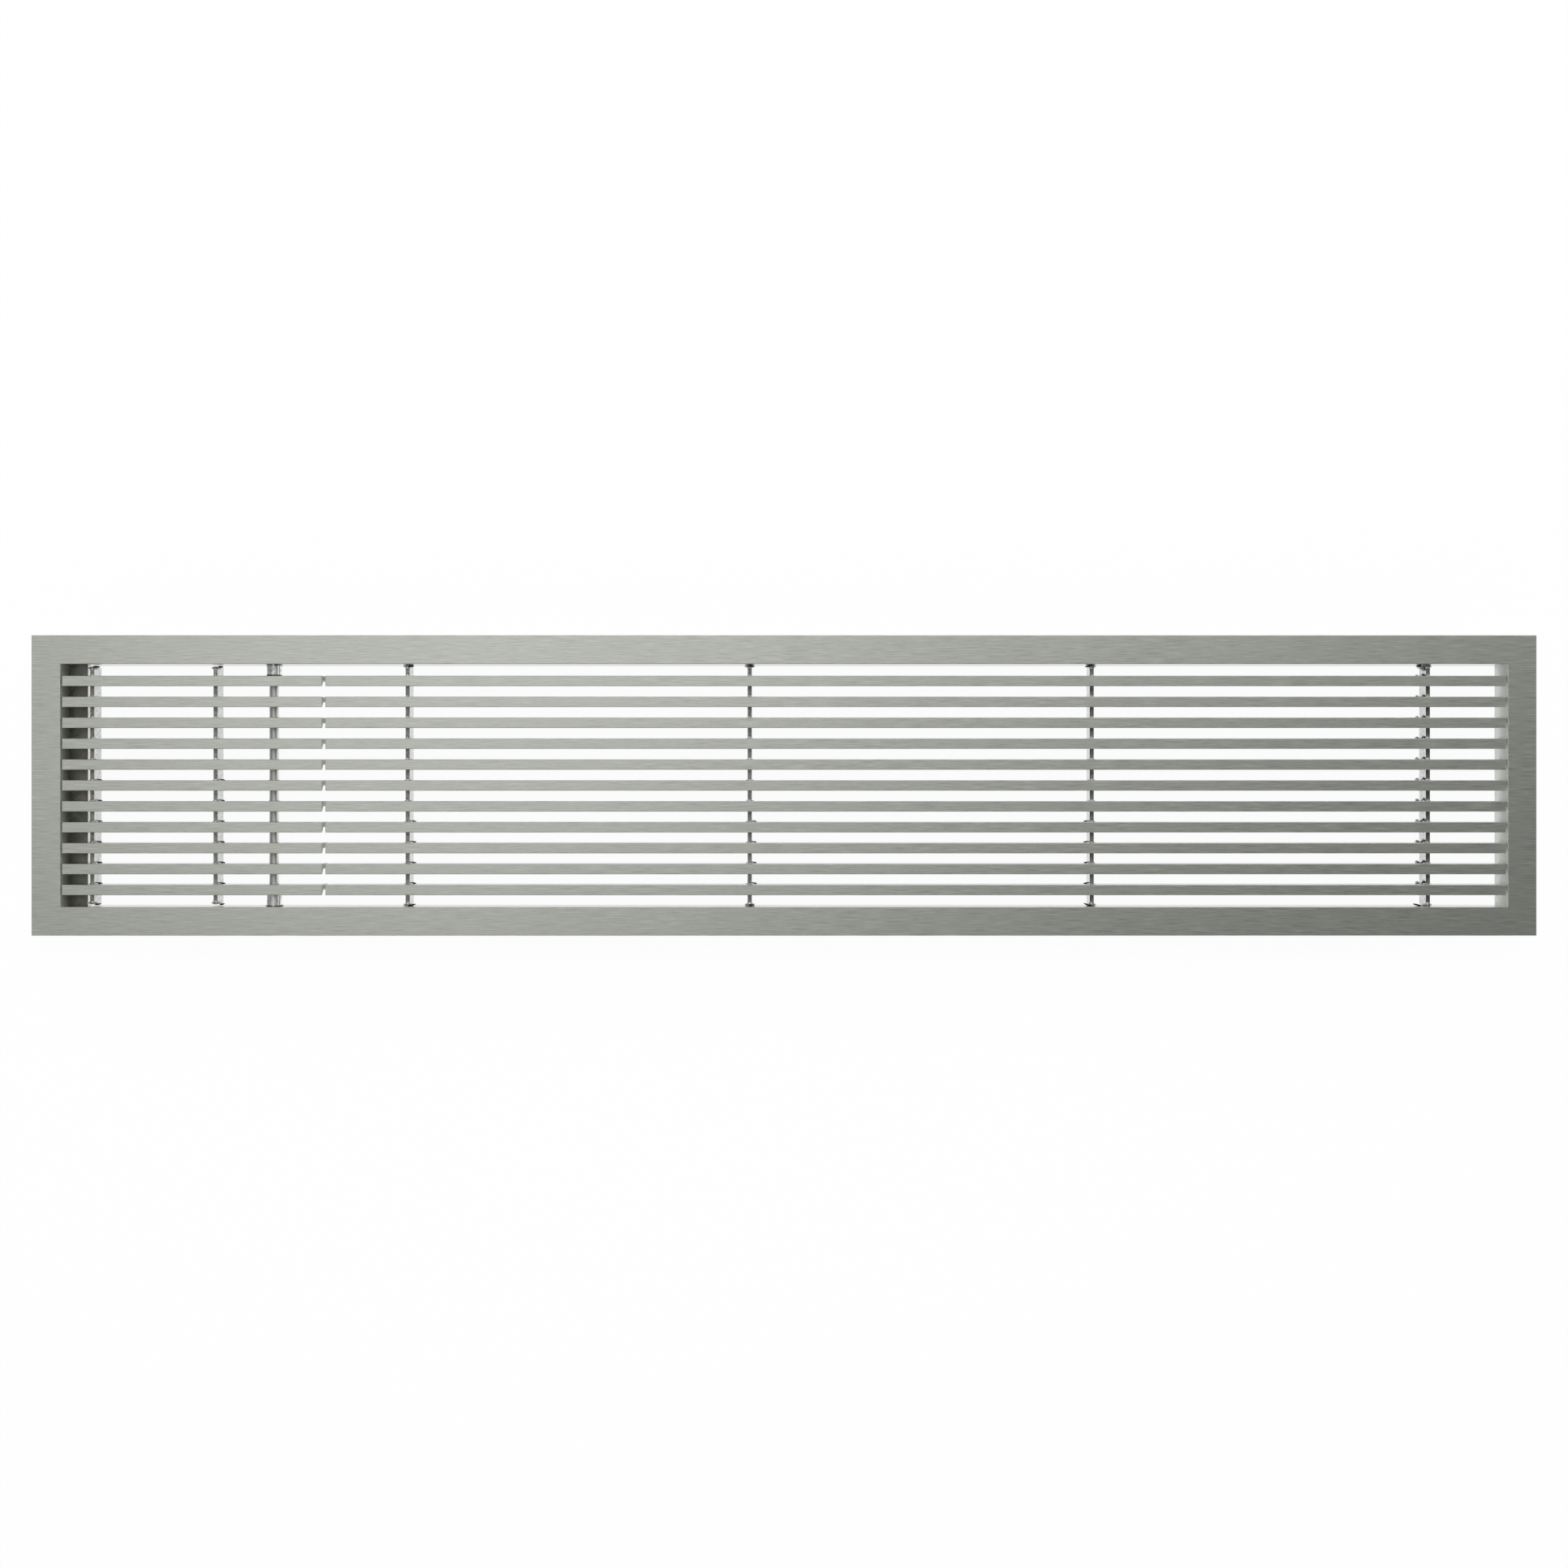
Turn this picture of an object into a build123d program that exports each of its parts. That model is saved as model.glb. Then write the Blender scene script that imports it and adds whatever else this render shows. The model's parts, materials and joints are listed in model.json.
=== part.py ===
"""Linear bar grille: a flanged frame, fixed bars and a short access door on a pivot rod."""
import os

from build123d import *

# All sizes are in millimetres. The grille lies on its back, as it would on a bench:
# X runs along its length, Y across its bars, Z up out of its face, and z = 0 is the
# back edge of the frame. The origin is at the middle of that back edge.

# Frame, four mitred lengths of one L-shaped extrusion
OVERALL_LENGTH = 914.4
OVERALL_HEIGHT = 182.6
FRAME_DEPTH = 25.4
FLANGE_WIDTH = 17.5
FLANGE_THICKNESS = 3.2
WALL_THICKNESS = 3.2

# Bars, each with a wide face and a thinner body flush with its upper side
BAR_PITCH = 12.7
BAR_FACE = 6.35
BAR_BODY = 3.2
BAR_DEPTH = 19.05
BAR_LIP_DEPTH = 0.8
BAR_HEAD_DEPTH = 4.4
BAR_END_GAP = 1.0
EDGE_ROUNDING = 0.35

# Crossbars, flat bars on edge that are slotted from the front for the bars' bodies
CROSSBAR_THICKNESS = 2.5
CROSSBAR_TOOTH = 8.35
CROSSBAR_BACK_GAP = 0.4
CROSSBAR_FIRST_INSET = 48.3
CROSSBAR_LAST_INSET = 44.5
CROSSBAR_SPACING = 209.4

# Door, the short section at the left end, and the stop that it rests on
DOOR_LENGTH = 158.0
DOOR_GAP = 2.0
DOOR_CROSSBAR_FIRST_INSET = 15.2
DOOR_CROSSBAR_SPACING = 75.5
DOOR_CROSSBAR_END_GAP = 1.0
STOP_WIDTH = 10.9
REST_GAP = 0.3

# Pivot, a rod fixed in the door's bars that turns in two bushings in the frame's walls
PIVOT_INSET = 31.0
PIVOT_DEPTH = 9.5
ROD_DIAMETER = 6.35
ROD_CLEARANCE = 0.05
ROD_END_RECESS = 0.5
BUSHING_DIAMETER = 9.5
BUSHING_SHANK_DIAMETER = 8.0
BUSHING_CHAMFER = 0.6
BUSHING_GAP = 0.3

# Places that follow from the sizes above. As many bars fit as leave a gap at the top
# and bottom that is no narrower than the slot between two bars.
OPENING_LENGTH = OVERALL_LENGTH - 2 * FLANGE_WIDTH
OPENING_HEIGHT = OVERALL_HEIGHT - 2 * FLANGE_WIDTH
BAR_SLOT = BAR_PITCH - BAR_FACE
BAR_COUNT = int((OPENING_HEIGHT - BAR_SLOT) / BAR_PITCH)
FIRST_BAR_TOP = ((BAR_COUNT - 1) * BAR_PITCH + BAR_FACE) / 2
BAR_BACK_Z = FRAME_DEPTH - BAR_DEPTH
CROSSBAR_FRONT_Z = BAR_BACK_Z + CROSSBAR_TOOTH
DOOR_LEFT_X = -OPENING_LENGTH / 2 + BAR_END_GAP
DOOR_RIGHT_X = DOOR_LEFT_X + DOOR_LENGTH
FIXED_LEFT_X = DOOR_RIGHT_X + DOOR_GAP
FIXED_RIGHT_X = OPENING_LENGTH / 2 - BAR_END_GAP
PIVOT_X = DOOR_RIGHT_X - PIVOT_INSET
PIVOT_Z = FRAME_DEPTH - PIVOT_DEPTH


def bar_top(index):
    """Y of a bar's upper side, counted from the top of the grille."""
    return FIRST_BAR_TOP - index * BAR_PITCH


def drawn_along_x(outline, start, end):
    """Solid of an outline of (y, z) points, drawn out along X from start to end."""
    face = make_face(Polyline(*outline, close=True))
    return extrude(Plane.YZ.offset(start) * face, end - start)


def rod_along_y(diameter, length):
    """Round rod on the pivot line, centred across the grille."""
    upright = Plane(origin=(PIVOT_X, 0, PIVOT_Z), z_dir=(0, 1, 0))
    return upright * Cylinder(diameter / 2, length)


def frame_side(length, half_opening):
    """One mitred side of the frame, on the +Y side of an opening."""
    inner = half_opening
    outer = half_opening + FLANGE_WIDTH
    flange_back = FRAME_DEPTH - FLANGE_THICKNESS
    outline = [
        (inner, 0),
        (inner + WALL_THICKNESS, 0),
        (inner + WALL_THICKNESS, flange_back),
        (outer, flange_back),
        (outer, FRAME_DEPTH),
        (inner, FRAME_DEPTH),
    ]
    side = drawn_along_x(outline, -length / 2, length / 2)
    front_edges = side.edges().filter_by(Axis.X).group_by(Axis.Z)[-1]
    side = fillet(front_edges, EDGE_ROUNDING)
    for end in (-1, 1):
        corner = (end * length / 2, outer, 0)
        side = split(side, Plane(origin=corner, z_dir=(end, -1, 0)), keep=Keep.BOTTOM)
    return side


def frame():
    """The four sides, with the pivot's two holes through the long ones."""
    long_side = frame_side(OVERALL_LENGTH, OPENING_HEIGHT / 2)
    short_side = frame_side(OVERALL_HEIGHT, OPENING_LENGTH / 2)
    hole = rod_along_y(BUSHING_SHANK_DIAMETER, OVERALL_HEIGHT)
    return {
        "frame_top": long_side - hole,
        "frame_bottom": Rot(0, 0, 180) * long_side - hole,
        "frame_left": Rot(0, 0, 90) * short_side,
        "frame_right": Rot(0, 0, -90) * short_side,
    }


def grille_bar(index, start, end):
    """One bar: a lip, a sloped underside and a body flush with its upper side."""
    top = bar_top(index)
    outline = [
        (top, FRAME_DEPTH),
        (top, BAR_BACK_Z),
        (top - BAR_BODY, BAR_BACK_Z),
        (top - BAR_BODY, FRAME_DEPTH - BAR_HEAD_DEPTH),
        (top - BAR_FACE, FRAME_DEPTH - BAR_LIP_DEPTH),
        (top - BAR_FACE, FRAME_DEPTH),
    ]
    bar = drawn_along_x(outline, start, end)
    face = bar.faces().sort_by(Axis.Z)[-1]
    return fillet(face.edges(), EDGE_ROUNDING)


def crossbar(x, end_gap):
    """Comb-shaped flat bar at x, with one slot for each bar's body."""
    back = CROSSBAR_BACK_GAP
    front = CROSSBAR_FRONT_Z
    length = OPENING_HEIGHT - 2 * end_gap
    comb = Pos(0, (back + front) / 2) * Rectangle(length, front - back)
    for index in range(BAR_COUNT):
        middle = bar_top(index) - BAR_BODY / 2
        comb -= Pos(middle, (BAR_BACK_Z + front) / 2) * Rectangle(BAR_BODY, front - BAR_BACK_Z)
    return extrude(Plane.YZ.offset(x - CROSSBAR_THICKNESS / 2) * comb, CROSSBAR_THICKNESS)


def fixed_crossbar_places():
    """X of the fixed crossbars: at a set spacing from the cut, and one near the far end."""
    x = FIXED_LEFT_X + CROSSBAR_FIRST_INSET
    last = FIXED_RIGHT_X - CROSSBAR_LAST_INSET
    places = []
    while x < last - CROSSBAR_SPACING / 2:
        places.append(x)
        x += CROSSBAR_SPACING
    return places + [last]


def door_stop():
    """Strip inside the left end of the frame, just behind the door's bars."""
    thickness = BAR_BACK_Z - REST_GAP
    centre = (-OPENING_LENGTH / 2 + STOP_WIDTH / 2, 0, thickness / 2)
    return Pos(*centre) * Box(STOP_WIDTH, OPENING_HEIGHT, thickness)


def pivot_bushing(reach):
    """Collar on the top wall that reaches down towards the door, with its shank in the wall."""
    wall = OPENING_HEIGHT / 2
    bore = ROD_DIAMETER / 2 + ROD_CLEARANCE
    shank = BUSHING_SHANK_DIAMETER / 2
    collar = BUSHING_DIAMETER / 2
    section = [
        (bore, wall + WALL_THICKNESS),
        (shank, wall + WALL_THICKNESS),
        (shank, wall),
        (collar - BUSHING_CHAMFER, wall),
        (collar, wall - BUSHING_CHAMFER),
        (collar, wall - reach + BUSHING_CHAMFER),
        (collar - BUSHING_CHAMFER, wall - reach),
        (bore, wall - reach),
    ]
    bushing = revolve(make_face(Polyline(*section, close=True)), Axis.Y)
    return Pos(PIVOT_X, 0, PIVOT_Z) * bushing


def pivot():
    """The rod and the bushing at each end of it."""
    wall = OPENING_HEIGHT / 2
    last_bar_underside = bar_top(BAR_COUNT - 1) - BAR_BODY
    top_reach = wall - bar_top(0) - BUSHING_GAP
    bottom_reach = wall + last_bar_underside - BUSHING_GAP
    rod_length = OPENING_HEIGHT + 2 * (WALL_THICKNESS - ROD_END_RECESS)
    return {
        "pivot_rod": rod_along_y(ROD_DIAMETER, rod_length),
        "pivot_bushing_top": pivot_bushing(top_reach),
        "pivot_bushing_bottom": mirror(pivot_bushing(bottom_reach), about=Plane.XZ),
    }


def fixed_section():
    """The long bars and the crossbars that hold them in the frame."""
    pieces = {}
    for index in range(BAR_COUNT):
        pieces[f"fixed_bar_{index + 1:02d}"] = grille_bar(index, FIXED_LEFT_X, FIXED_RIGHT_X)
    for number, x in enumerate(fixed_crossbar_places(), start=1):
        pieces[f"fixed_crossbar_{number:02d}"] = crossbar(x, 0)
    return pieces


def door():
    """The short bars, drilled for the rod, and the crossbars that hold them together."""
    rod_hole = rod_along_y(ROD_DIAMETER, OVERALL_HEIGHT)
    pieces = {}
    for index in range(BAR_COUNT):
        bar = grille_bar(index, DOOR_LEFT_X, DOOR_RIGHT_X)
        pieces[f"door_bar_{index + 1:02d}"] = bar - rod_hole
    first = DOOR_LEFT_X + DOOR_CROSSBAR_FIRST_INSET
    second = first + DOOR_CROSSBAR_SPACING
    for number, x in enumerate((first, second), start=1):
        pieces[f"door_crossbar_{number:02d}"] = crossbar(x, DOOR_CROSSBAR_END_GAP)
    return pieces


os.makedirs("parts", exist_ok=True)
grille = {**frame(), "door_stop": door_stop(), **fixed_section(), **door(), **pivot()}
for name, solid in grille.items():
    export_step(solid, f"parts/{name}.step")
print(f"{len(grille)} pieces written")
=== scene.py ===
# %% [markdown]
# # A bar grille in satin aluminium
#
# The piece is a long, low grille for an air outlet: a flanged frame, eleven straight bars,
# crossbars on edge behind them, and a short access door at the left end that turns on a rod.
# Its metal pieces come from the CAD model. This script gives them their surfaces, adds the
# weld beads that hold them together, and sets up the studio.

# %% Load the CAD model and keep its box
import json

import bpy
import numpy as np
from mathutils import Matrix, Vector


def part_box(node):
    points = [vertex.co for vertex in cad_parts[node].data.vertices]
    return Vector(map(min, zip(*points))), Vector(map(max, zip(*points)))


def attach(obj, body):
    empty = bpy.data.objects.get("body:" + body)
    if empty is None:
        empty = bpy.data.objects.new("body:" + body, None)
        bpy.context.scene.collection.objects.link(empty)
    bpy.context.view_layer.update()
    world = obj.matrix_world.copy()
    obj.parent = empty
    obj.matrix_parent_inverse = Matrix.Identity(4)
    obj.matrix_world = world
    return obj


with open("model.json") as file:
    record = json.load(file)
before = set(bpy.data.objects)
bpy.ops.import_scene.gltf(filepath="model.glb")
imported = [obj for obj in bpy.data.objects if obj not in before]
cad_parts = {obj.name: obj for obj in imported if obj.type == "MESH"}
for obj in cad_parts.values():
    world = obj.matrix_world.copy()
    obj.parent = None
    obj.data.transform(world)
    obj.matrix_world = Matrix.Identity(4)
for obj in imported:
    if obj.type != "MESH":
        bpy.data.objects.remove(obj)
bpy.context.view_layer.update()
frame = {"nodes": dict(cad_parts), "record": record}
nodes = frame["nodes"]

# %% [markdown]
# ## Sizes that the added pieces need
#
# The beads sit on the bars, so they start from the CAD pieces' own boxes. A bar's upper
# side is the high end of its box along Y, and a crossbar's front edge is the high end of
# its box along Z.

# %% Read the places of the bars, the crossbars and the rod
BARS = 11
WALL = 0.0032


def place(name):
    """The two corners of a CAD piece's box, as arrays."""
    low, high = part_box(name)
    return np.array(low), np.array(high)


bar_tops = np.array([place(f"fixed_bar_{i:02d}")[1][1] for i in range(1, BARS + 1)])
face_z = place("frame_top")[1][2]
rod_low, rod_high = place("pivot_rod")
rod_x, rod_z = (rod_low[0] + rod_high[0]) / 2, (rod_low[2] + rod_high[2]) / 2
print(f"bars every {1000 * (bar_tops[0] - bar_tops[1]):.2f} mm, face at {1000 * face_z:.1f} mm")

# %% [markdown]
# ## The surfaces
#
# Satin aluminium is a metal with fine scratches that all run one way. The scratches are
# noise that is stretched along the bars by scaling its coordinates, and they move three
# things a little: the colour, the roughness and the surface's tilt. The three come from one
# node group, so every material that uses it has the same grain.
#
# Only the faces that look forward are brushed. The sides of an extrusion come smooth from
# the die, so they mirror the bright floor, and sawn ends are dull. A second group tells
# them apart by the normal: its Z part is near 1 on a face that looks forward or back, and
# its X part is near 1 on an end.


# %% Two node groups, for the grain and for telling faces from sides
def new_group(name, inputs, outputs):
    """An empty node group with number inputs, given with their defaults, and outputs."""
    tree = bpy.data.node_groups.new(name, "ShaderNodeTree")
    for title, default in inputs.items():
        socket = tree.interface.new_socket(title, in_out="INPUT", socket_type="NodeSocketFloat")
        socket.default_value = default
    for title in outputs:
        tree.interface.new_socket(title, in_out="OUTPUT", socket_type="NodeSocketFloat")
    return tree, tree.nodes.new("NodeGroupInput"), tree.nodes.new("NodeGroupOutput")


def add_node(tree, kind, operation=None, **values):
    """A node, with its operation and the values of its named inputs."""
    node = tree.nodes.new(kind)
    if operation:
        node.operation = operation
    for title, value in values.items():
        node.inputs[title.replace("_", " ")].default_value = value
    return node


def spread(tree, source, low, high):
    """Turns noise, which lies mostly between 0.3 and 0.7, into the range low to high."""
    node = add_node(tree, "ShaderNodeMapRange", From_Min=0.3, From_Max=0.7, To_Min=low, To_Max=high)
    tree.links.new(source, node.inputs["Value"])
    return node.outputs["Result"]


def brushed_group():
    """Grain along X: a colour factor near 1, a roughness offset and a height."""
    tree, inside, outside = new_group(
        "brushed_grain", {"Stretch": 40.0, "Fineness": 2600.0, "Contrast": 0.07}, ("Shade", "Rough", "Height"))
    link = tree.links.new
    coords = add_node(tree, "ShaderNodeTexCoord")
    along = add_node(tree, "ShaderNodeMath", "DIVIDE")
    link(inside.outputs["Fineness"], along.inputs[0])
    link(inside.outputs["Stretch"], along.inputs[1])
    scale = add_node(tree, "ShaderNodeCombineXYZ")
    link(along.outputs[0], scale.inputs["X"])
    link(inside.outputs["Fineness"], scale.inputs["Y"])
    link(inside.outputs["Fineness"], scale.inputs["Z"])
    stretched = add_node(tree, "ShaderNodeVectorMath", "MULTIPLY")
    link(coords.outputs["Object"], stretched.inputs[0])
    link(scale.outputs[0], stretched.inputs[1])
    fine = add_node(tree, "ShaderNodeTexNoise", Scale=1.0, Detail=4.0, Roughness=0.7)
    link(stretched.outputs[0], fine.inputs["Vector"])
    cloud = add_node(tree, "ShaderNodeTexNoise", Scale=22.0, Detail=3.0)
    link(coords.outputs["Object"], cloud.inputs["Vector"])
    swing = add_node(tree, "ShaderNodeMath", "MULTIPLY")
    link(spread(tree, fine.outputs["Fac"], -1.0, 1.0), swing.inputs[0])
    link(inside.outputs["Contrast"], swing.inputs[1])
    lift = add_node(tree, "ShaderNodeMath", "ADD")
    link(swing.outputs[0], lift.inputs[0])
    link(spread(tree, cloud.outputs["Fac"], 0.985, 1.015), lift.inputs[1])
    link(lift.outputs[0], outside.inputs["Shade"])
    link(spread(tree, fine.outputs["Fac"], -0.05, 0.05), outside.inputs["Rough"])
    link(fine.outputs["Fac"], outside.inputs["Height"])
    return tree


def facing_group():
    """Face: 1 where the surface looks forward or back. End: 1 where it looks along the bars."""
    tree, inside, outside = new_group("facing", {"Tilt": 0.82}, ("Face", "End"))
    coords = add_node(tree, "ShaderNodeTexCoord")
    parts = add_node(tree, "ShaderNodeSeparateXYZ")
    tree.links.new(coords.outputs["Normal"], parts.inputs[0])
    for axis, title in (("Z", "Face"), ("X", "End")):
        size = add_node(tree, "ShaderNodeMath", "ABSOLUTE")
        tree.links.new(parts.outputs[axis], size.inputs[0])
        past = add_node(tree, "ShaderNodeMath", "SUBTRACT")
        tree.links.new(size.outputs[0], past.inputs[0])
        tree.links.new(inside.outputs["Tilt"], past.inputs[1])
        step = add_node(tree, "ShaderNodeMapRange", From_Min=0.0, From_Max=0.1)
        step.interpolation_type = "SMOOTHSTEP"
        tree.links.new(past.outputs[0], step.inputs["Value"])
        tree.links.new(step.outputs["Result"], outside.inputs[title])
    return tree


def blotch_group():
    """Spots and streaks: a factor that is 1 on clean metal and falls to Depth in a spot."""
    tree, inside, outside = new_group(
        "blotches", {"Size": 900.0, "Amount": 0.38, "Depth": 0.6}, ("Clean",))
    coords = add_node(tree, "ShaderNodeTexCoord")
    spots = add_node(tree, "ShaderNodeTexNoise", Detail=5.0, Roughness=0.65, Distortion=0.6)
    tree.links.new(coords.outputs["Object"], spots.inputs["Vector"])
    tree.links.new(inside.outputs["Size"], spots.inputs["Scale"])
    step = add_node(tree, "ShaderNodeMapRange", From_Max=0.54)
    step.interpolation_type = "SMOOTHSTEP"
    tree.links.new(spots.outputs["Fac"], step.inputs["Value"])
    tree.links.new(inside.outputs["Amount"], step.inputs["From Min"])
    tree.links.new(inside.outputs["Depth"], step.inputs["To Min"])
    tree.links.new(step.outputs["Result"], outside.inputs["Clean"])
    return tree


grain, facing, blotches = brushed_group(), facing_group(), blotch_group()


# %% [markdown]
# A finish is a colour and a roughness. Each metal gets three of them, for its faces, its
# sides and its ends, and the grain shades them all. The crossbars and the welds also have
# dark spots, as metal has that was sawn, heated and wiped.


# %% The metals
def mixed(tree, factor, kind, from_value, to_value):
    """A Mix node's output: from_value where the factor is 0 and to_value where it is 1."""
    node = tree.nodes.new("ShaderNodeMix")
    node.data_type = kind
    sockets = [s for s in node.inputs if s.type == {"FLOAT": "VALUE", "RGBA": "RGBA"}[kind]]
    first, second = (sockets[-2], sockets[-1])
    for socket, value in ((first, from_value), (second, to_value)):
        if hasattr(value, "is_output"):
            tree.links.new(value, socket)
        else:
            socket.default_value = value
    tree.links.new(factor, node.inputs["Factor"])
    return next(out for out in node.outputs if out.type == first.type)


def metal(name, face, side, end, grain_size, contrast, bump, tilt=0.82, spots=None):
    """A metal whose faces, sides and ends are finishes (colour, roughness), with grain.

    Spots are given as their size, their amount and the factor that they darken the metal by.
    """
    mat = bpy.data.materials.new(name)
    mat.use_nodes = True
    tree = mat.node_tree
    link = tree.links.new
    shader = tree.nodes["Principled BSDF"]
    shader.inputs["Metallic"].default_value = 1.0
    marks = add_node(tree, "ShaderNodeGroup")
    marks.node_tree = grain
    marks.inputs["Stretch"].default_value, marks.inputs["Fineness"].default_value = grain_size
    marks.inputs["Contrast"].default_value = contrast
    which = add_node(tree, "ShaderNodeGroup")
    which.node_tree = facing
    which.inputs["Tilt"].default_value = tilt
    colour = mixed(tree, which.outputs["End"], "RGBA", (*side[0], 1.0), (*end[0], 1.0))
    colour = mixed(tree, which.outputs["Face"], "RGBA", colour, (*face[0], 1.0))
    roughness = mixed(tree, which.outputs["End"], "FLOAT", side[1], end[1])
    roughness = mixed(tree, which.outputs["Face"], "FLOAT", roughness, face[1])
    shade = marks.outputs["Shade"]
    if spots:
        clean = add_node(tree, "ShaderNodeGroup")
        clean.node_tree = blotches
        for title, value in zip(("Size", "Amount", "Depth"), spots):
            clean.inputs[title].default_value = value
        both = add_node(tree, "ShaderNodeMath", "MULTIPLY")
        link(shade, both.inputs[0])
        link(clean.outputs["Clean"], both.inputs[1])
        shade = both.outputs[0]
    tint = add_node(tree, "ShaderNodeVectorMath", "SCALE")
    link(colour, tint.inputs[0])
    link(shade, tint.inputs["Scale"])
    link(tint.outputs[0], shader.inputs["Base Color"])
    rough = add_node(tree, "ShaderNodeMath", "ADD")
    link(marks.outputs["Rough"], rough.inputs[0])
    link(roughness, rough.inputs[1])
    link(rough.outputs[0], shader.inputs["Roughness"])
    height = add_node(tree, "ShaderNodeBump", Strength=bump, Distance=0.00005)
    link(marks.outputs["Height"], height.inputs["Height"])
    link(height.outputs["Normal"], shader.inputs["Normal"])
    return mat


SMOOTH, DULL = ((0.64, 0.65, 0.62), 0.2), ((0.82, 0.83, 0.80), 0.7)
POLISHED = ((0.93, 0.93, 0.92), 0.16)
FROSTED, PAINTED_SHADE = ((0.95, 0.95, 0.93), 0.5), ((0.03, 0.03, 0.03), 0.6)
LENGTHWISE, EVEN = (40.0, 2600.0), (1.5, 1400.0)
materials = {
    "satin_aluminium": metal(
        "satin_aluminium", ((0.50, 0.515, 0.475), 0.42), SMOOTH, DULL, LENGTHWISE, 0.3, 0.25),
    "plain_aluminium": metal(
        "plain_aluminium", ((0.31, 0.31, 0.29), 0.45), SMOOTH, SMOOTH, EVEN, 0.1, 0.3,
        spots=(450.0, 0.42, 0.68)),
    # The stop is plain aluminium; its dark, brownish face colour is painted shade for the deep recess it sits
    # in.
    "stop_strip": metal(
        "stop_strip", ((0.23, 0.225, 0.205), 0.5), SMOOTH, SMOOTH, EVEN, 0.15, 0.4,
        spots=(120.0, 0.40, 0.74)),
    "round_rod": metal(
        "round_rod", ((0.58, 0.58, 0.56), 0.5), POLISHED, POLISHED, EVEN, 0.1, 0.2, tilt=0.73),
    "polished_bushing": metal(
        "polished_bushing", ((0.78, 0.78, 0.76), 0.5), POLISHED, POLISHED, EVEN, 0.1, 0.2, tilt=0.75,
        spots=(450.0, 0.34, 0.5)),
    "weld_metal": metal(
        "weld_metal", FROSTED, FROSTED, FROSTED, EVEN, 0.08, 0.6,
        spots=(900.0, 0.33, 0.45)),
    # weld_shadow is near black: it paints the shade in the narrow gaps at the crossbars and the bushings.
    "weld_shadow": metal("weld_shadow", PAINTED_SHADE, PAINTED_SHADE, PAINTED_SHADE, EVEN, 0.05, 0.3),
}
for part in frame["record"]["subparts"]:
    thing = nodes[part["node"]]
    thing.data.materials.clear()
    thing.data.materials.append(materials[part["material_slot"]])

# %% [markdown]
# ## The weld beads
#
# The crossbars are welded to the bars and to the frame's long walls, and every weld has
# left a drop of frozen metal. One drop is a ball that is stretched, turned in the plane of
# the face and given an uneven skin. With numpy all the drops of a body are worked out at
# once: the ball's points are one array, the drops' sizes and places are another, and their
# product is every point of every drop.


# %% Drops of frozen metal
RINGS, SEGMENTS = 9, 14


def unit_ball():
    """Points and triangles of a ball of radius 1.

    A ring at the polar angle p is a circle of radius sin(p) at the height cos(p). The two
    poles are single points at the start and the end of the list.
    """
    polar = np.pi * np.arange(1, RINGS + 1) / (RINGS + 1)
    around = 2 * np.pi * np.arange(SEGMENTS) / SEGMENTS
    p, a = np.meshgrid(polar, around, indexing="ij")
    rings = np.stack([np.sin(p) * np.cos(a), np.sin(p) * np.sin(a), np.cos(p)], axis=-1)
    points = np.concatenate([[[0.0, 0.0, 1.0]], rings.reshape(-1, 3), [[0.0, 0.0, -1.0]]])
    last = len(points) - 1
    here = 1 + np.arange(RINGS * SEGMENTS).reshape(RINGS, SEGMENTS)
    beside = np.roll(here, -1, axis=1)
    top = np.stack([np.zeros(SEGMENTS, int), here[0], beside[0]], axis=-1)
    bottom = np.stack([np.full(SEGMENTS, last), beside[-1], here[-1]], axis=-1)
    upper = np.stack([here[:-1], here[1:], beside[1:]], axis=-1).reshape(-1, 3)
    lower = np.stack([here[:-1], beside[1:], beside[:-1]], axis=-1).reshape(-1, 3)
    return points, np.concatenate([top, upper, lower, bottom])


def drops(name, rows, material, body):
    """One mesh of drops, from rows of (x, y, z, half length, half height, half depth, turn).

    Each point is the ball's point times 1 + 0.12 sin(4 times its place + the drop's own
    phase), stretched by the three half sizes, turned about Z, and moved to its place.
    """
    table = np.array(rows, float)
    ball, triangles = unit_ball()
    phase = np.random.default_rng(7).uniform(0.0, 2 * np.pi, (len(table), 1, 3))
    skin = 1 + 0.12 * np.sin(4 * ball[None] + phase).mean(axis=2, keepdims=True)
    stretched = ball[None] * skin * table[:, None, 3:6]
    turn = table[:, 6, None]
    x = stretched[..., 0] * np.cos(turn) - stretched[..., 1] * np.sin(turn)
    y = stretched[..., 0] * np.sin(turn) + stretched[..., 1] * np.cos(turn)
    points = np.stack([x, y, stretched[..., 2]], axis=-1) + table[:, None, :3]
    offsets = len(ball) * np.arange(len(table))[:, None, None]
    faces = (triangles[None] + offsets).reshape(-1, 3)
    mesh = bpy.data.meshes.new(name)
    mesh.from_pydata(points.reshape(-1, 3).tolist(), [], faces.tolist())
    mesh.polygons.foreach_set("use_smooth", np.ones(len(faces), bool))
    mesh.update()
    thing = bpy.data.objects.new(name, mesh)
    bpy.context.scene.collection.objects.link(thing)
    thing.data.materials.append(materials[material])
    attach(thing, body)
    print(f"{name}: {len(table)} drops, {len(faces)} triangles")
    return thing
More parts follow.
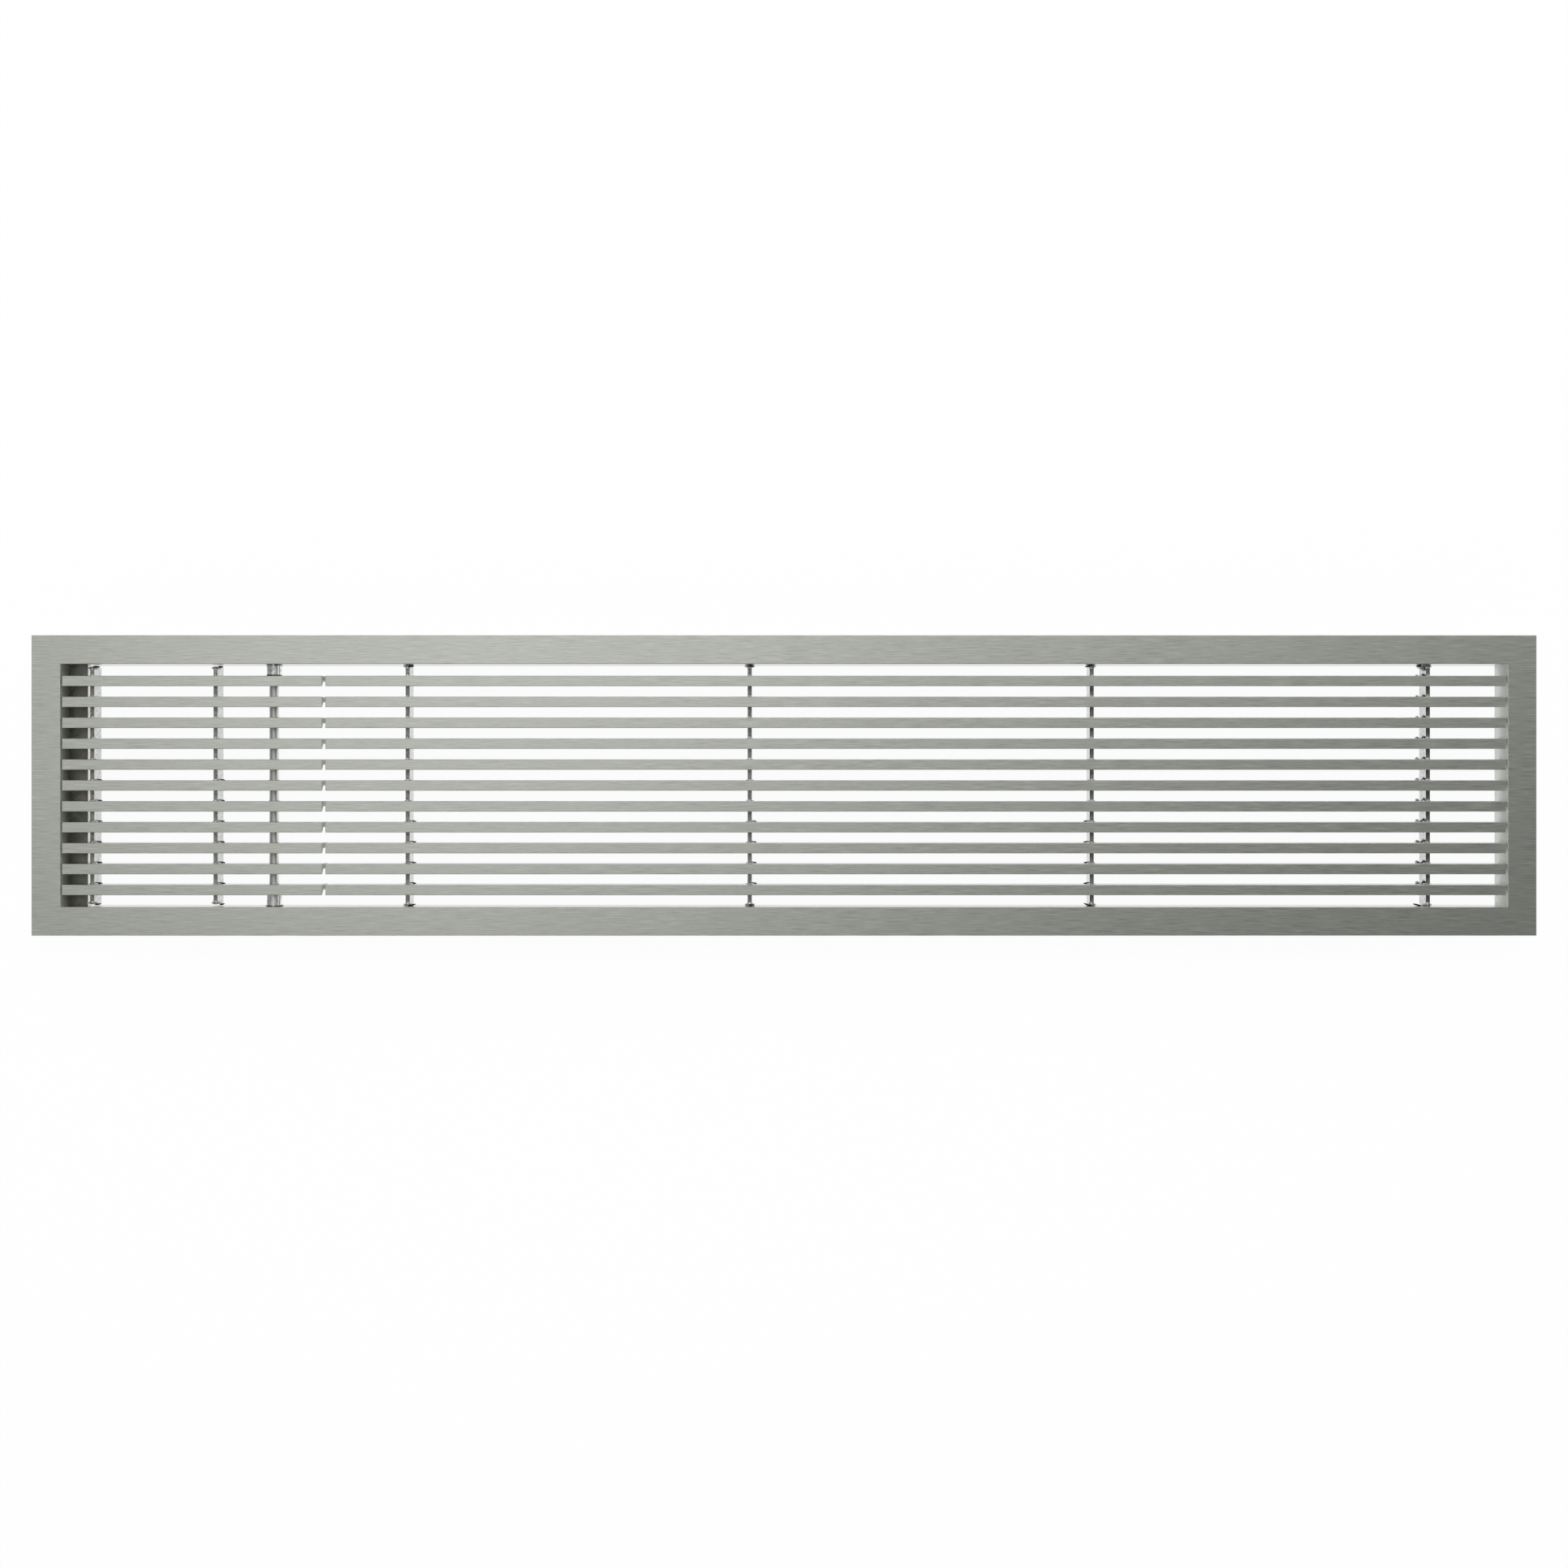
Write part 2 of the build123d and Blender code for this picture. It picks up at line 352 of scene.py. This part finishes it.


# %% [markdown]
# ## Where the drops go
#
# On every bar there is a drop in front of each crossbar's foot and a flat one on each side
# of it. At the walls there is a bigger bead over each crossbar's end, and in front of it a
# thin black drop paints the shadow in the narrow gap where the crossbar meets the wall. More
# black drops paint shadow beside the crossbars' feet in the lower rows and at the bushings'
# ends. The end shadows differ, so each has its own offset, length and turn.

# %% Places and sizes of the drops, in metres
MM = 0.001
# Painted shadows at the crossbars' ends: for each crossbar, the offset and length in mm and the turn in degrees
# of the black drop at its top end, then at its bottom end.
END_SHADOWS = {
    "fixed_crossbar_01": ((2.2, 3.6, 0), (2.7, 5.2, 11)),
    "fixed_crossbar_02": ((0.8, 4.2, -5), (1.0, 4.0, 0)),
    "fixed_crossbar_03": ((-1.9, 5.0, 12), (-2.4, 6.0, -22)),
    "fixed_crossbar_04": ((-5.6, 3.0, 12), (-6.6, 5.6, -14)),
    "door_crossbar_01": ((2.6, 4.4, -4), (3.6, 4.6, 8)),
    "door_crossbar_02": ((3.2, 3.4, -8), (4.0, 3.2, 10)),
}


def crossbar_line(name):
    """Middle X, front Z and half thickness of a crossbar."""
    low, high = place(name)
    return (low[0] + high[0]) / 2, high[2], (high[0] - low[0]) / 2


def open_side(name):
    """The side of a crossbar that was welded: -1 towards the door, 1 away from it."""
    return np.sign(END_SHADOWS[name][0][0])


def bar_drops(name):
    """The drop in front of the crossbar's foot on every bar, and one on each side of it."""
    x, front, half = crossbar_line(name)
    rows = []
    for index, top in enumerate(bar_tops):
        height = np.interp(index, (0, 5, 10), (2.6, 1.9, 0.9)) * MM
        rows.append((x, top, front - 0.3 * MM, 1.25 * MM, height, 1.3 * MM, 0.0))
        for side in (-1, 1):
            foot = x + side * (half + 0.4 * MM)
            rows.append((foot, top, front - 4.0 * MM, 1.3 * MM, 0.55 * MM, 3.2 * MM, side * -0.15))
    return rows


def heavy_drops(name):
    """The thick weld at the last crossbar: a slanted flare and a round drop on every bar."""
    x, front, half = crossbar_line(name)
    side = open_side(name)
    rows = []
    for top in bar_tops:
        foot = x + side * (half + 1.5 * MM)
        drop = x + side * (half + 3.6 * MM)
        rows.append((foot, top + 0.6 * MM, front - 7.0 * MM, 2.6 * MM, 0.8 * MM, 3.5 * MM, side * -0.7))
        rows.append((drop, top + 0.6 * MM, front - 7.0 * MM, 1.1 * MM, 1.0 * MM, 1.2 * MM, 0.0))
    corner = x + side * (half + 2.2 * MM)
    wall = place(name)[1][1]
    rows.append((corner, wall - 1.2 * MM, front - 5.0 * MM, 3.4 * MM, 1.3 * MM, 3.5 * MM, side * 0.6))
    return rows


def end_drops(name):
    """A bead over each end of the crossbar, and one on each side of that end."""
    x, front, half = crossbar_line(name)
    low, high = place(name)
    rows = []
    for side, end in ((-1, low[1]), (1, high[1])):
        rows.append((x, end - side * 1.5 * MM, front - 0.5 * MM, 1.6 * MM, 1.4 * MM, 0.9 * MM, 0.0))
        for way in (-1, 1):
            foot = x + way * (half + 0.5 * MM)
            rows.append((foot, end - side * 0.8 * MM, front - 4.0 * MM, 1.5 * MM, 0.7 * MM, 3.6 * MM, 0.0))
    return rows


def end_shadow_drops(name):
    """Painted shadow at each end, in the narrow gap where the crossbar meets the wall: a thin black drop just in
    front of the bead.
    """
    x, front, half = crossbar_line(name)
    low, high = place(name)
    rows = []
    for end, side, (offset, length, turn) in zip((high[1], low[1]), (1, -1), END_SHADOWS[name]):
        y = end - side * (0.7 if name.startswith("fixed") else 0.1) * MM
        rows.append((x + offset * MM, y, front, length / 2 * MM, 0.5 * MM, 1.5 * MM, np.radians(turn)))
    return rows


def foot_shadow_drops(name, first):
    """Painted shadow beside a crossbar's foot on its welded side: a thin black drop on each bar from the first
    given one down to the last.
    """
    x, front, half = crossbar_line(name)
    side = open_side(name)
    foot = x + side * (half + 0.9 * MM)
    return [
        (foot, top + 0.4 * MM, front - 6.0 * MM, 2.2 * MM, 0.45 * MM, 3.0 * MM, side * -0.1)
        for top in bar_tops[first:]
    ]


def rod_rings():
    """A ring of weld round the rod where it goes into each bar's upper side."""
    return [(rod_x, top, rod_z, 3.9 * MM, 0.55 * MM, 3.6 * MM, 0.0) for top in bar_tops]


def bushing_shadow_rings():
    """Painted shadow at each end of a bushing: a thin flat black drop that is wider than the collar."""
    rows = []
    for name, thick in (("pivot_bushing_top", 0.25), ("pivot_bushing_bottom", 0.55)):
        low, high = place(name)
        wall, inner = (high[1] - WALL, low[1]) if low[1] > 0 else (low[1] + WALL, high[1])
        way = np.sign(wall)
        radius = (high[0] - low[0]) / 2
        rows.append((rod_x, wall - way * 0.4 * MM, rod_z, radius + 0.5 * MM, thick * MM, radius + 0.4 * MM, 0.0))
        rows.append((rod_x, inner + way * 0.1 * MM, rod_z, radius + 0.3 * MM, 0.22 * MM, radius + 0.2 * MM, 0.0))
    return rows


for body in ("frame_body", "door_body"):
    kind = {"frame_body": "fixed", "door_body": "door"}[body]
    names = [name for name in END_SHADOWS if name.startswith(kind)]
    beads = [row for name in names for row in bar_drops(name) + end_drops(name)]
    # Black drops of painted shadow: at the crossbars' ends, beside their feet and, on the frame, at the
    # bushings' ends.
    shadow_rows = [row for name in names for row in end_shadow_drops(name)]
    shadow_rows += [row for name in names for row in foot_shadow_drops(name, 5 if kind == "door" else 7)]
    if kind == "fixed":
        shadow_rows += bushing_shadow_rings()
        beads += heavy_drops("fixed_crossbar_04")
    else:
        drops("rod_rings", rod_rings(), "round_rod", body)
    drops(f"{kind}_weld_beads", beads, "weld_metal", body)
    drops(f"{kind}_painted_shadows", shadow_rows, "weld_shadow", body)

# %% [markdown]
# ## The studio
#
# A floor that looks white to the camera and in reflections keeps the bars' gaps white, as
# on a light table, without pouring more light on the metal. A little of it is ordinary
# diffuse paint, so the grille still casts its shadow there.


# %% Floor, lamps, world and camera
def floor_material():
    """White for camera and mirror rays, with a little diffuse paint for the shadow."""
    mat = bpy.data.materials.new("pale_floor")
    mat.use_nodes = True
    new, link = mat.node_tree.nodes.new, mat.node_tree.links.new
    shader = mat.node_tree.nodes["Principled BSDF"]
    shader.inputs["Base Color"].default_value = (0.10, 0.10, 0.10, 1.0)
    shader.inputs["Roughness"].default_value = 1.0
    shader.inputs["Specular IOR Level"].default_value = 0.0
    shader.inputs["Emission Color"].default_value = (1.0, 1.0, 1.0, 1.0)
    rays = new("ShaderNodeLightPath")
    seen = new("ShaderNodeMath")
    seen.operation = "MAXIMUM"
    link(rays.outputs["Is Camera Ray"], seen.inputs[0])
    link(rays.outputs["Is Glossy Ray"], seen.inputs[1])
    strength = new("ShaderNodeMath")
    strength.operation = "MULTIPLY"
    strength.inputs[1].default_value = 0.94
    link(seen.outputs[0], strength.inputs[0])
    link(strength.outputs[0], shader.inputs["Emission Strength"])
    return mat


def flat_square(name, size, height):
    """A square face that looks up."""
    mesh = bpy.data.meshes.new(name)
    half = size / 2
    corners = [(-half, -half, height), (half, -half, height), (half, half, height), (-half, half, height)]
    mesh.from_pydata(corners, [], [(0, 1, 2, 3)])
    thing = bpy.data.objects.new(name, mesh)
    bpy.context.scene.collection.objects.link(thing)
    return thing


floor = flat_square("floor", 12.0, -0.0002)
floor.data.materials.append(floor_material())


def softbox(name, place_at, aim, size, watts):
    """A rectangular lamp at a place, turned towards a point."""
    lamp = bpy.data.lights.new(name, "AREA")
    lamp.shape = "RECTANGLE"
    lamp.size, lamp.size_y = size
    lamp.energy = watts
    thing = bpy.data.objects.new(name, lamp)
    thing.location = place_at
    thing.rotation_euler = (Vector(aim) - Vector(place_at)).to_track_quat("-Z", "Y").to_euler()
    bpy.context.scene.collection.objects.link(thing)
    return thing


softbox("key", (-0.6, 0.3, 2.225), (0.0, 0.0, 0.025), (1.4, 1.4), 8.8)
softbox("fill", (0.6, 1.2, 2.225), (0.0, 0.0, 0.025), (1.4, 1.4), 11.3)


def studio_world():
    """Pale walls and a dim ceiling, and plain white where the camera looks past the floor."""
    surroundings = bpy.data.worlds.new("studio")
    surroundings.use_nodes = True
    new, link = surroundings.node_tree.nodes.new, surroundings.node_tree.links.new
    background = surroundings.node_tree.nodes["Background"]
    background.inputs["Color"].default_value = (0.98, 1.0, 0.96, 1.0)
    direction = new("ShaderNodeTexCoord")
    parts = new("ShaderNodeSeparateXYZ")
    link(direction.outputs["Generated"], parts.inputs[0])
    sky = new("ShaderNodeMapRange")
    sky.interpolation_type = "SMOOTHSTEP"
    sky.inputs["From Min"].default_value = 0.15
    sky.inputs["From Max"].default_value = 0.75
    sky.inputs["To Min"].default_value = WALL_LIGHT
    sky.inputs["To Max"].default_value = CEILING_LIGHT
    link(parts.outputs["Z"], sky.inputs["Value"])
    rays = new("ShaderNodeLightPath")
    either = new("ShaderNodeMath")
    either.operation = "MAXIMUM"
    link(rays.outputs["Is Camera Ray"], either.inputs[0])
    link(sky.outputs["Result"], either.inputs[1])
    link(either.outputs[0], background.inputs["Strength"])
    return surroundings


WALL_LIGHT = 0.9
CEILING_LIGHT = 0.13
bpy.context.scene.world = studio_world()

lens = bpy.data.cameras.new("camera")
lens.sensor_width = 36.0
lens.lens = 51.3
camera = bpy.data.objects.new("camera", lens)
camera.location = (0.0, 0.0009, face_z + 1.3573)
camera.rotation_euler = (0.0, 0.0, 0.0)
bpy.context.scene.collection.objects.link(camera)
bpy.context.scene.camera = camera
bpy.context.scene.view_settings.view_transform = "Standard"
print(f"camera {camera.location.z:.3f} m up, lens {lens.lens} mm")
